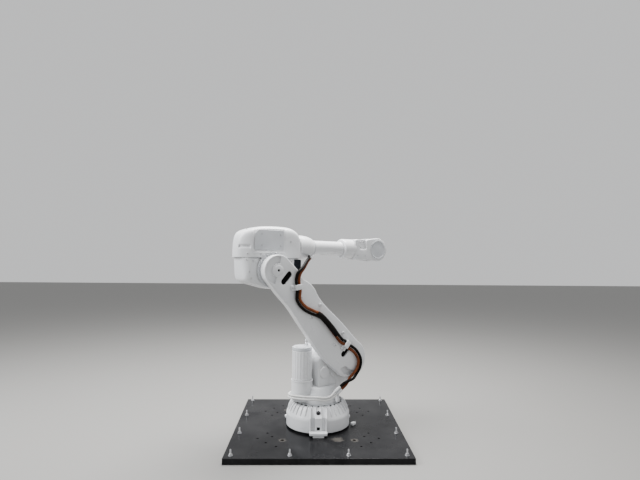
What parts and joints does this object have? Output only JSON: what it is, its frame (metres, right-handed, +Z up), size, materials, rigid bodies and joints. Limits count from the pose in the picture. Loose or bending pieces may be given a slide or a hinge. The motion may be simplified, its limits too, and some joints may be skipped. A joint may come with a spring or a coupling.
{
  "type": "industrial robot arm",
  "caption": "Floor-standing articulated industrial robot arm on a square steel plate, with clamped hoses along its lower arm.",
  "frame": {"origin": "centre of the floor plate's underside, on the robot's first axis", "axes": "+Z up along the first axis; X along the plate's front edge, +X to the right as seen from the front; +Y towards the back"},
  "size_m": [1.2195, 1.2, 1.5002],
  "materials": {
    "white_paint": "satin light grey-white paint on cast metal",
    "grey_paint": "satin grey paint",
    "black_steel": "semi-gloss black paint on steel plate",
    "bare_steel": "turned bare steel",
    "dark_plastic": "dark moulded plastic",
    "black_rubber": "matt black hose",
    "copper_sleeve": "copper-brown hose",
    "white_cable": "off-white cable jacket"
  },
  "bodies": {
    "stand": {"base_plate": "black_steel", "base_casting": "white_paint", "bearing_ring": "grey_paint", "base_connector_box": "white_paint"},
    "turret": {"turret_casting": "white_paint", "axis1_motor_foot": "white_paint", "axis1_motor": "white_paint", "axis1_motor_cap": "grey_paint", "shoulder_gearbox": "grey_paint", "axis2_motor_flange": "white_paint", "axis2_motor": "white_paint", "axis2_motor_cap": "grey_paint", "lifting_eye": "bare_steel", "hose_bracket": "white_paint", "waist_cable_low": "white_cable", "waist_cable_high": "white_cable", "shoulder_hose_black": "black_rubber", "shoulder_hose_copper": "copper_sleeve"},
    "lower_arm": {"lower_arm_casting": "white_paint", "hose_clamp_low": "white_paint", "hose_clamp_high": "white_paint", "arm_hose_black": "black_rubber", "arm_hose_copper": "copper_sleeve", "elbow_hose_black": "black_rubber", "elbow_hose_copper": "copper_sleeve"},
    "upper_arm": {"upper_arm_casting": "white_paint", "upper_arm_cover": "white_paint", "side_panel": "grey_paint", "elbow_gearbox": "grey_paint", "neck_cone": "white_paint", "plug_box": "dark_plastic"},
    "forearm": {"forearm_collar": "grey_paint", "forearm_tube": "white_paint", "wrist_housing": "white_paint", "wrist_cover_right": "grey_paint", "wrist_cover_left": "grey_paint"},
    "wrist": {"wrist_knuckle": "white_paint"},
    "flange": {"tool_flange": "bare_steel"}
  },
  "joints": [
    {"name": "axis_1_turn", "type": "hinge", "parent": "stand", "child": "turret", "pos_m": [0, 0, 0.2], "axis": [0, 0, 1], "range_deg": [-212.5, 147.5]},
    {"name": "axis_2_shoulder", "type": "hinge", "parent": "turret", "child": "lower_arm", "pos_m": [0.14759, 0.09403, 0.533], "axis": [-0.5373, 0.8434, 0], "range_deg": [-47, 80], "deforming": ["shoulder_hose_black", "shoulder_hose_copper"]},
    {"name": "axis_3_elbow", "type": "hinge", "parent": "lower_arm", "child": "upper_arm", "pos_m": [-0.37008, -0.23577, 1.19122], "axis": [0.5373, -0.8434, 0], "range_deg": [-32, 223], "deforming": ["elbow_hose_black", "elbow_hose_copper"]},
    {"name": "axis_4_forearm_roll", "type": "hinge", "parent": "upper_arm", "child": "forearm", "pos_m": [-0.3686, -0.23482, 1.35921], "axis": [0.8433, 0.5373, -0.0105], "range_deg": [-200, 200]},
    {"name": "axis_5_wrist_bend", "type": "hinge", "parent": "forearm", "child": "wrist", "pos_m": [0.44102, 0.28096, 1.34916], "axis": [-0.5373, 0.8434, 0], "range_deg": [-120, 120]},
    {"name": "axis_6_flange_turn", "type": "hinge", "parent": "wrist", "child": "flange", "pos_m": [0.44102, 0.28096, 1.34916], "axis": [0.8433, 0.5373, -0.0105], "range_deg": [-400, 400]}
  ]
}
